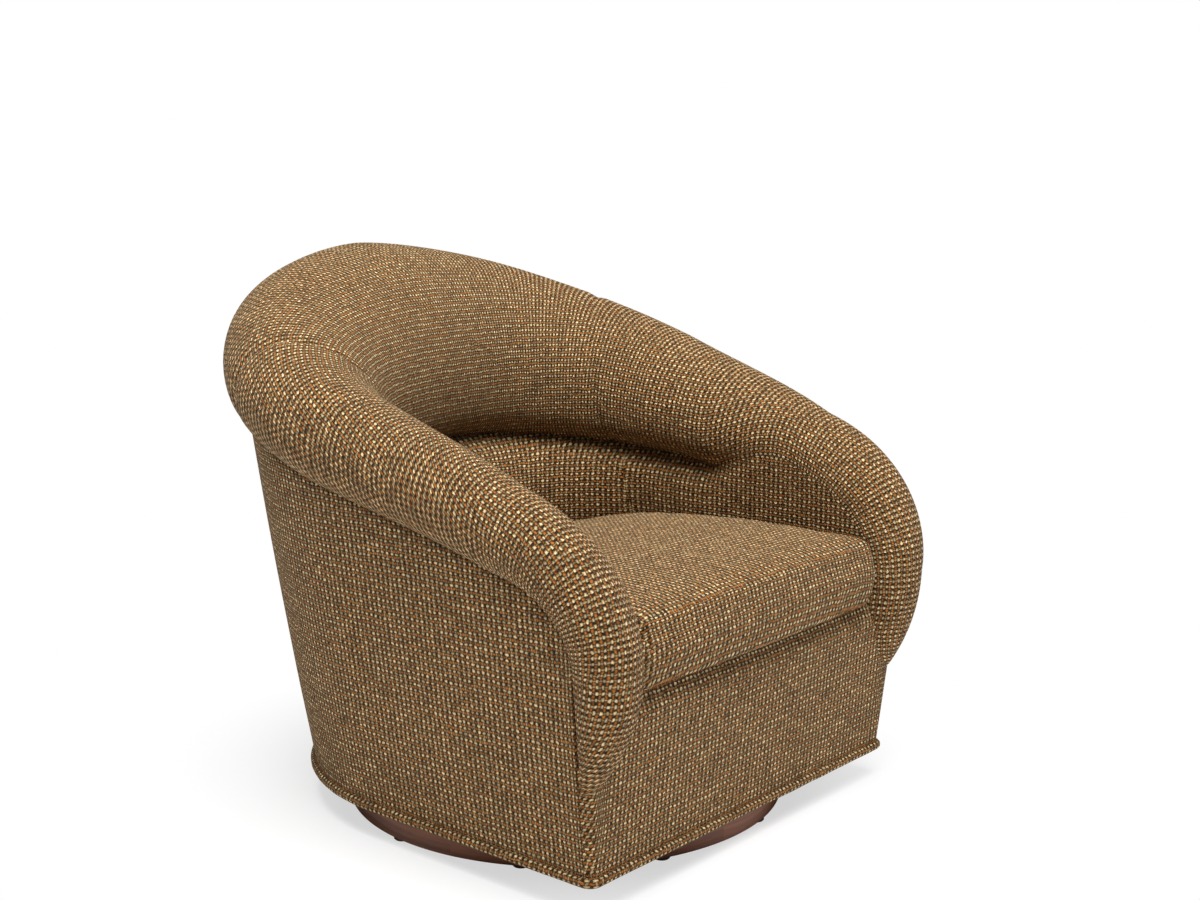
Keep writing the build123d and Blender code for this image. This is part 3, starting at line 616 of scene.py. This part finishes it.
def pad_grid(stations, side):
    """Points of a length of inside pad, from under the roll down to the deck."""
    rows, across = [], []
    for st in stations:
        pts = pad_line(st)
        run = lengths(pts)
        pts = grooved(pts, run, st["groove"])
        (a_n, a_h), (z_n, z_h) = pts[0], pts[-1]
        g = st["groove"]
        pts.insert(0, (a_n - mix(0.0008, 0.006, g), a_h + 0.004 * (1 - g)))
        pts.insert(0, (a_n - mix(0.005, 0.016, g), a_h + 0.009 * (1 - g)))
        rows.append([place(st, n, h, side) for n, h in pts])
        across.append([-0.016, -0.006] + run)
    return np.array(rows), np.array(across)


def pad_uv(points, across, level):
    along = running(points[:, 8])
    uv = np.zeros(points.shape[:2] + (2,))
    for i in range(points.shape[0]):
        uv[i, :, 0] = along[i]
        uv[i, :, 1] = -across[i]
        if level:
            uv[i, :, 1] += points[i, 2, 2]
        else:
            uv[i] = np.stack([-points[i, :, 1], points[i, :, 2]], axis=1)
    return uv


low_stations = [s for s in drop_stations if s["spot"].z > DECK_Z]
table, across = pad_grid(quarter_stations + arm_stations + low_stations, 1)
mitre = mitre_line(table, 79.0, 80.0, 88.0, 2)
zero = np.zeros(table.shape[1])
last = np.full(table.shape[1], table.shape[0] - 1.0)
pts, uv = cut(table, pad_uv(table, across, False), mitre, last, 90)
for side, name in ((1, "right"), (-1, "left")):
    shape = seam_edges(soften(pts * np.array([side, 1.0, 1.0])), True, False, 0.002)
    pad = grid_mesh(f"inside_arm_cover_{name}", shape, uv * np.array([side, 1.0]), flip=side < 0)
    dress(pad, tweed, "tweed", "seat", f"inside_arm_pad_{name}")
pts, uv = both_halves(*cut(table, pad_uv(table, across, True), zero, mitre, 70))
lumbar = grid_mesh("lumbar_cover", seam_edges(soften(pts), True, True, 0.002), uv)
dress(lumbar, tweed, "tweed", "seat", "lumbar_pad")


# Outside covers from the welt up to the crease
def panel_rows(columns, side, count=30):
    """Columns are pairs of a foot and a head point with the outward direction between them."""
    rows, heights = [], []
    for foot, head, out in columns:
        line = []
        for i in range(count + 1):
            t = i / count
            p = foot.lerp(head, t) + out * 0.003 * math.sin(math.pi * t)
            line.append((side * p.x, p.y, p.z))
        head_in = head - out * 0.008
        line.append((side * head_in.x, head_in.y, head_in.z + 0.001))
        rows.append(line)
        heights.append([p[2] for p in line])
    pts = np.array(rows)
    uv = np.zeros(pts.shape[:2] + (2,))
    uv[:, :, 0] = running(pts[:, count // 2])[:, None]
    uv[:, :, 1] = np.array(heights)
    return pts, uv


def upright_column(st):
    foot = st["spot"] + Vector((0, 0, PANEL_Z))
    head = st["spot"] + st["inward"] * st["crease"][0] + Vector((0, 0, st["crease"][1] + 0.002))
    return foot, head, -st["inward"]


def nose_column(st):
    head = st["spot"] + st["inward"] * st["crease"][0] + st["up"] * (st["crease"][1] + 0.002)
    return Vector((HALF_WIDTH, head.y, PANEL_Z)), head, Vector((1, 0, 0))


back_columns = [upright_column(s) for s in quarter_stations[:58]]
side_columns = [upright_column(s) for s in quarter_stations[57:] + straight_stations]
side_columns += [nose_column(s) for s in nose_stations[:-4]]
seam_y = side_columns[-1][0].y
for side, name in ((1, "right"), (-1, "left")):
    pts, uv = panel_rows(side_columns, side)
    uv[:, :, 0] *= side
    fold = pts[-1:] - np.array([[[side * 0.006, 0.002, 0.0]]])
    pts = np.concatenate([soften(pts, 0.0008), fold])
    uv = np.concatenate([uv, uv[-1:] + np.array([[[side * 0.006, 0.0]]])])
    panel = grid_mesh(f"outside_cover_{name}", pts, uv, flip=side > 0)
    dress(panel, tweed, "tweed", "seat", f"outside_panel_{name}")
pts, uv = both_halves(*panel_rows(back_columns, 1))
outside_back = grid_mesh("outside_back_cover", soften(pts, 0.0008), uv, flip=True)
dress(outside_back, tweed, "tweed", "seat", "outside_back_panel")


# Front cover: round both front corners and up between the arms
def front_ring(grow, corner=FRONT_CORNER, turns=8, along=60):
    half, front = HALF_WIDTH + grow, -(FRONT + grow)
    pts = [Vector((half - 0.006, seam_y + 0.001)), Vector((half, seam_y - 0.0015))]
    pts += [Vector((half, mix(seam_y - 0.0015, front + corner, i / 4))) for i in range(1, 4)]
    for i in range(turns + 1):
        a = math.pi / 2 * i / turns
        pts.append(Vector((half - corner + corner * math.cos(a), front + corner - corner * math.sin(a))))
    right = pts[-1].x
    pts += [Vector((mix(right, 0, i / (along // 2)), front)) for i in range(1, along // 2 + 1)]
    return pts + [Vector((-p.x, p.y)) for p in pts[-2::-1]]


def front_top(x):
    return mix(FRONT_TOP, FRONT_TOP_SIDE, ease(*FRONT_STEP, abs(x)))


def front_grid(count=26):
    base = front_ring(0)
    rows = []
    for index in range(len(base)):
        line = []
        for i in range(count + 1):
            z = mix(PANEL_Z, front_top(base[index].x), i / count)
            p = front_ring(FRONT_SLOPE * (z - PANEL_Z))[index]
            line.append((p.x, p.y + 0.016 * ease(0.252, 0.300, z), z))
        rows.append(line)
    pts = np.array(rows)
    uv = np.zeros(pts.shape[:2] + (2,))
    for i in range(count + 1):
        along = running(pts[:, i])
        uv[:, i, 0] = along - along[len(along) // 2]
    uv[:, :, 1] = pts[:, :, 2]
    return pts, uv


pts, uv = front_grid()
dress(grid_mesh("front_cover", soften(pts, 0.0008), uv), tweed, "tweed", "seat", "front_panel")


# Welt: a covered cord round the bottom edge
def welt_grid(around=20, corner=FRONT_CORNER):
    side_in, front_in = HALF_WIDTH - corner, -FRONT + corner

    def corner_turn(x, start):
        turn = span(start, start + 0.5 * math.pi, 8)[1:]
        return [Vector((x + corner * math.cos(a), front_in + corner * math.sin(a), 0)) for a in turn]

    path = []
    for a in span(0, math.pi, 120):
        path.append(Vector((HALF_WIDTH * math.cos(a), STRAIGHT + BACK_DEPTH * math.sin(a), 0)))
    path += [Vector((-HALF_WIDTH, y, 0)) for y in span(STRAIGHT, front_in, 24)[1:]]
    path += corner_turn(-side_in, math.pi)
    path += [Vector((x, -FRONT, 0)) for x in span(-side_in, side_in, 50)[1:]]
    path += corner_turn(side_in, 1.5 * math.pi)
    path += [Vector((HALF_WIDTH, y, 0)) for y in span(front_in, STRAIGHT, 24)[1:]]
    rows, uvs, run = [], [], 0.0
    for i, p in enumerate(path):
        step = path[min(i + 1, len(path) - 1)] - path[max(i - 1, 0)]
        out = Vector((step.y, -step.x, 0)).normalized()
        if i:
            run += (p - path[i - 1]).length
        line, uvl = [], []
        for j in range(around + 1):
            a = 2 * math.pi * j / around + math.pi
            q = p + out * (WELT_R * math.cos(a)) + Vector((0, 0, HEM_Z + WELT_R * math.sin(a)))
            line.append(tuple(q))
            uvl.append((run, WELT_R * (a - math.pi)))
        rows.append(line)
        uvs.append(uvl)
    return np.array(rows), np.array(uvs)


pts, uv = welt_grid()
dress(grid_mesh("base_welt_cover", soften(pts, 0.0005, 30.0), uv), tweed, "tweed", "seat", "base_welt")


# Loose seat cushion: a closed form blown up a little as cloth, then smoothed
def cushion_outline(count=200):
    half, front, back = CUSHION_HALF, CUSHION_FRONT, CUSHION_BACK
    r1, r2 = CUSHION_FRONT_CORNER, CUSHION_BACK_CORNER
    corners = [(half - r2, back - r2, r2, 0), (-half + r2, back - r2, r2, 1),
               (-half + r1, front + r1, r1, 2), (half - r1, front + r1, r1, 3)]
    loop = []
    for x, y, r, quarter in corners:
        for i in range(13):
            a = math.pi / 2 * (quarter + i / 12)
            loop.append(Vector((x + r * math.cos(a), y + r * math.sin(a))))
    loop.append(loop[0].copy())
    run = lengths([tuple(p) for p in loop])
    out, k = [], 0
    for i in range(count):
        d = run[-1] * i / count
        while run[k + 1] < d:
            k += 1
        p = loop[k].lerp(loop[k + 1], (d - run[k]) / max(run[k + 1] - run[k], 1e-9))
        p.y -= CUSHION_BOW * (1 - (p.x / half) ** 2) * ease(-0.2, -0.4, p.y)
        out.append(p)
    return out


def crown_z(x, y):
    return CROWN_TOP - ((y - CROWN_Y) ** 2) / (2 * CROWN_RADIUS) - SIDE_DROOP * (x / DROOP_HALF) ** 2


def cushion_mesh():
    """Rings of the outline from the middle of the underside round the edge to the middle of the top."""
    ring = cushion_outline()
    centre = Vector((0, -0.13))
    bottom = DECK_Z + CUSHION_LIFT
    layers = [(s, 0.0) for s in span(0.05, 0.93, 14)]
    layers += [(0.935 + 0.045 * math.sin(a), 0.12 * (1 - math.cos(a))) for a in span(0.2, math.pi / 2, 5)]
    layers += [(0.98 + 0.02 * math.sin(math.pi * t), mix(0.12, 0.86, t)) for t in span(0, 1, 10)[1:]]
    layers += [(0.945 + 0.035 * math.cos(a), 0.86 + 0.14 * math.sin(a)) for a in span(0, math.pi / 2, 9)[1:]]
    layers += [(s, 1.0) for s in span(0.94, 0.03, 30)[1:]]
    verts = []
    for share, rise in layers:
        for p in ring:
            q = centre + (p - centre) * share
            verts.append((q.x, q.y, mix(bottom, crown_z(q.x, q.y), rise)))
    count = len(ring)
    faces = [list(range(count))[::-1]]
    for i in range(len(layers) - 1):
        for j in range(count):
            k = (j + 1) % count
            faces.append([i * count + j, i * count + k, (i + 1) * count + k, (i + 1) * count + j])
    faces.append([(len(layers) - 1) * count + j for j in range(count)])
    mesh = bpy.data.meshes.new("seat_cushion_cover")
    mesh.from_pydata(verts, [], faces)
    mesh.update()
    obj = bpy.data.objects.new("seat_cushion_cover", mesh)
    bpy.context.scene.collection.objects.link(obj)
    return obj


def baked(obj):
    """The object's mesh with its modifiers applied."""
    graph = bpy.context.evaluated_depsgraph_get()
    mesh = bpy.data.meshes.new_from_object(obj.evaluated_get(graph))
    obj.modifiers.clear()
    obj.data = mesh
    return obj


def inflate(obj, frames=18, cap=0.005):
    """Blows the cover up as cloth, and keeps each point within a cap of where it began."""
    remesh = obj.modifiers.new("even", "REMESH")
    remesh.mode = "VOXEL"
    remesh.voxel_size = 0.005
    baked(obj)
    start = np.array([v.co[:] for v in obj.data.vertices])
    cloth = obj.modifiers.new("cloth", "CLOTH")
    settings = cloth.settings
    settings.quality = 5
    settings.mass = 0.25
    settings.tension_stiffness = 12
    settings.compression_stiffness = 12
    settings.shear_stiffness = 4
    settings.bending_stiffness = 0.3
    settings.use_pressure = True
    settings.uniform_pressure_force = 4.0
    settings.effector_weights.gravity = 0.0
    cloth.point_cache.frame_start = 1
    cloth.point_cache.frame_end = frames
    scene = bpy.context.scene
    for f in range(1, frames + 1):
        scene.frame_set(f)
    baked(obj)
    scene.frame_set(1)
    moved = np.array([v.co[:] for v in obj.data.vertices]) - start
    size = np.linalg.norm(moved, axis=1, keepdims=True)
    moved *= cap * np.tanh(size / cap) / np.maximum(size, 1e-9)
    end = start + moved
    end[:, 2] = np.maximum(end[:, 2], DECK_Z + CUSHION_LIFT)
    end[:, 0] = np.clip(end[:, 0], -CUSHION_REACH, CUSHION_REACH)
    obj.data.vertices.foreach_set("co", end.ravel())
    smooth = obj.modifiers.new("smooth", "SMOOTH")
    smooth.factor = 0.5
    smooth.iterations = 2
    baked(obj)
    obj.data.polygons.foreach_set("use_smooth", [True] * len(obj.data.polygons))
    return obj


def cushion_uv(obj):
    """Rows level across the front, and over the front edge on to the top without a break."""
    mesh = obj.data
    layer = mesh.uv_layers.new(name="UVMap")
    for poly in mesh.polygons:
        nx, ny, _ = poly.normal
        sideways = abs(nx) > abs(ny) * 1.2
        for index in poly.loop_indices:
            x, y, z = mesh.vertices[mesh.loops[index].vertex_index].co
            fall = max(crown_z(x, y) - z, 0.0)
            if abs(poly.normal.z) > 0.72:
                uv = (x, y)
            elif sideways:
                uv = (y, z)
            else:
                uv = (x, y - fall if y < -0.13 else y + fall)
            layer.data[index].uv = uv


cushion = inflate(cushion_mesh())
cushion_uv(cushion)
cushion.data.transform(Matrix.Translation((0, BODY_Y, 0)))
dress(cushion, tweed, "tweed", "cushion", "seat_cushion")


# Deck and front edge under the cushion: the same solids with softened edges
def softened_copy(node_name, name, radius):
    node = frame["nodes"][node_name]
    graph = bpy.context.evaluated_depsgraph_get()
    mesh = bpy.data.meshes.new_from_object(node.evaluated_get(graph))
    mesh.transform(node.matrix_world)
    bm = bmesh.new()
    bm.from_mesh(mesh)
    bmesh.ops.remove_doubles(bm, verts=bm.verts, dist=1e-5)
    bmesh.ops.dissolve_limit(bm, angle_limit=0.02, verts=bm.verts, edges=bm.edges)
    sharp = [e for e in bm.edges if len(e.link_faces) == 2 and e.calc_face_angle() > 0.6]
    bmesh.ops.bevel(bm, geom=sharp, offset=radius, segments=3, affect="EDGES", profile=0.5)
    bm.to_mesh(mesh)
    bm.free()
    mesh.name = name
    mesh.polygons.foreach_set("use_smooth", [True] * len(mesh.polygons))
    obj = bpy.data.objects.new(name, mesh)
    bpy.context.scene.collection.objects.link(obj)
    return obj


for node_name, radius in (("seat_deck", 0.004), ("front_edge_foam", 0.008)):
    soft = softened_copy(node_name, f"{node_name}_cover", radius)
    dress(soft, lining, "lining_cloth", "seat", node_name)


# Staples that hold the dust cover, set out along its edge by geometry nodes
def staple_row():
    half, depth, front = 0.318, 0.307, -0.342
    pts = [(half * math.sin(a), STRAIGHT + depth * math.cos(a)) for a in span(-math.pi / 2, math.pi / 2, 60)]
    pts += [(half, y) for y in span(STRAIGHT, front, 20)[1:]]
    pts += [(x, front) for x in span(half, -half, 30)[1:]]
    pts += [(-half, y) for y in span(front, STRAIGHT, 20)[1:-1]]
    mesh = bpy.data.meshes.new("dust_cover_staples")
    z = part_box("dust_cover")[0][2] - 0.0003
    edges = [(i, (i + 1) % len(pts)) for i in range(len(pts))]
    mesh.from_pydata([(x, y + BODY_Y, z) for x, y in pts], edges, [])
    obj = bpy.data.objects.new("dust_cover_staples", mesh)
    bpy.context.scene.collection.objects.link(obj)
    tree = bpy.data.node_groups.new("StapleRow", "GeometryNodeTree")
    tree.interface.new_socket("Geometry", in_out="INPUT", socket_type="NodeSocketGeometry")
    tree.interface.new_socket("Spacing", in_out="INPUT", socket_type="NodeSocketFloat").default_value = 0.045
    tree.interface.new_socket("Geometry", in_out="OUTPUT", socket_type="NodeSocketGeometry")
    given, out = tree.nodes.new("NodeGroupInput"), tree.nodes.new("NodeGroupOutput")
    curve = tree.nodes.new("GeometryNodeMeshToCurve")
    points = tree.nodes.new("GeometryNodeCurveToPoints")
    points.mode = "LENGTH"
    cube = tree.nodes.new("GeometryNodeMeshCube")
    cube.inputs["Size"].default_value = (0.0012, 0.0006, 0.011)
    inst = tree.nodes.new("GeometryNodeInstanceOnPoints")
    real = tree.nodes.new("GeometryNodeRealizeInstances")
    link = tree.links.new
    link(given.outputs["Geometry"], curve.inputs["Mesh"])
    link(curve.outputs["Curve"], points.inputs["Curve"])
    link(given.outputs["Spacing"], points.inputs["Length"])
    link(points.outputs["Points"], inst.inputs["Points"])
    link(points.outputs["Rotation"], inst.inputs["Rotation"])
    link(cube.outputs["Mesh"], inst.inputs["Instance"])
    link(inst.outputs["Instances"], real.inputs["Geometry"])
    link(real.outputs["Geometry"], out.inputs["Geometry"])
    mod = obj.modifiers.new("staples", "NODES")
    mod.node_group = tree
    return baked(obj)


dress(staple_row(), steel, "steel", "seat")


# Floor, light and camera
def floor():
    mat, k, shader = new_material("floor", 0.95, specular=0.0)
    shader.inputs["Base Color"].default_value = (0.93, 0.93, 0.93, 1)
    tree = mat.node_tree
    coords = tree.nodes.new("ShaderNodeTexCoord").outputs["Object"]
    x, y, _ = k.split(coords)
    away = k.math("SQRT", k.math("ADD", k.math("POWER", x, 2.0), k.math("POWER", y, 2.0)))
    fade = k.lerp(k.math("DIVIDE", k.math("SUBTRACT", away, 0.34), 0.34, clamp=True), 0.62, 1.0)
    glow = tree.nodes.new("ShaderNodeEmission")
    blend = tree.nodes.new("ShaderNodeMixShader")
    rays = tree.nodes.new("ShaderNodeLightPath")
    k.link(k.math("MULTIPLY", fade, rays.outputs["Is Camera Ray"]), blend.inputs[0])
    tree.links.new(shader.outputs[0], blend.inputs[1])
    tree.links.new(glow.outputs[0], blend.inputs[2])
    tree.links.new(blend.outputs[0], tree.nodes["Material Output"].inputs[0])
    size = 30.0
    mesh = bpy.data.meshes.new("floor")
    corners = [(-size, -size, 0), (size, -size, 0), (size, size, 0), (-size, size, 0)]
    mesh.from_pydata(corners, [], [[0, 1, 2, 3]])
    obj = bpy.data.objects.new("floor", mesh)
    obj.data.materials.append(mat)
    bpy.context.scene.collection.objects.link(obj)


def area_light(name, spot, target, size, power):
    data = bpy.data.lights.new(name, "AREA")
    data.shape = "RECTANGLE"
    data.size, data.size_y = size
    data.energy = power
    obj = bpy.data.objects.new(name, data)
    obj.location = spot
    obj.rotation_euler = (Vector(spot) - Vector(target)).to_track_quat("Z", "Y").to_euler()
    bpy.context.scene.collection.objects.link(obj)


def studio():
    world = bpy.data.worlds.new("studio")
    bpy.context.scene.world = world
    world.use_nodes = True
    tree = world.node_tree
    k = Nodes(tree)
    shade = tree.nodes["Background"]
    rays = tree.nodes.new("ShaderNodeLightPath")
    seen = k.math("MAXIMUM", rays.outputs["Is Camera Ray"], rays.outputs["Is Transmission Ray"])
    shade.inputs[0].default_value = (1, 1, 1, 1)
    k.link(k.lerp(seen, 0.13, 1.0), shade.inputs[1])
    area_light("overhead", (-0.8, -1.2, 6.0), (0, 0, 0.3), (4.5, 4.5), 690.0)
    area_light("left", (-3.2, -0.6, 1.6), (0, 0, 0.4), (1.6, 2.0), 3.0)
    area_light("right", (1.6, -3.2, 1.8), (0, 0, 0.4), (1.8, 1.8), 2.5)


def camera():
    data = bpy.data.cameras.new("camera")
    data.sensor_width = 36.0
    data.sensor_fit = "HORIZONTAL"
    data.lens = 57.0
    data.clip_end = 200.0
    obj = bpy.data.objects.new("camera", data)
    a, e = math.radians(-49.725), math.radians(11.4185)
    back = Vector((math.sin(a) * math.cos(e), -math.cos(a) * math.cos(e), math.sin(e)))
    obj.location = (-2.05392, -1.83285 + BODY_Y, 1.06785)
    obj.rotation_euler = back.to_track_quat("Z", "Y").to_euler()
    bpy.context.scene.collection.objects.link(obj)
    bpy.context.scene.camera = obj


floor()
studio()
camera()
scene = bpy.context.scene
scene.render.engine = "CYCLES"
scene.render.resolution_x, scene.render.resolution_y = 1200, 900
scene.view_settings.view_transform = "Standard"
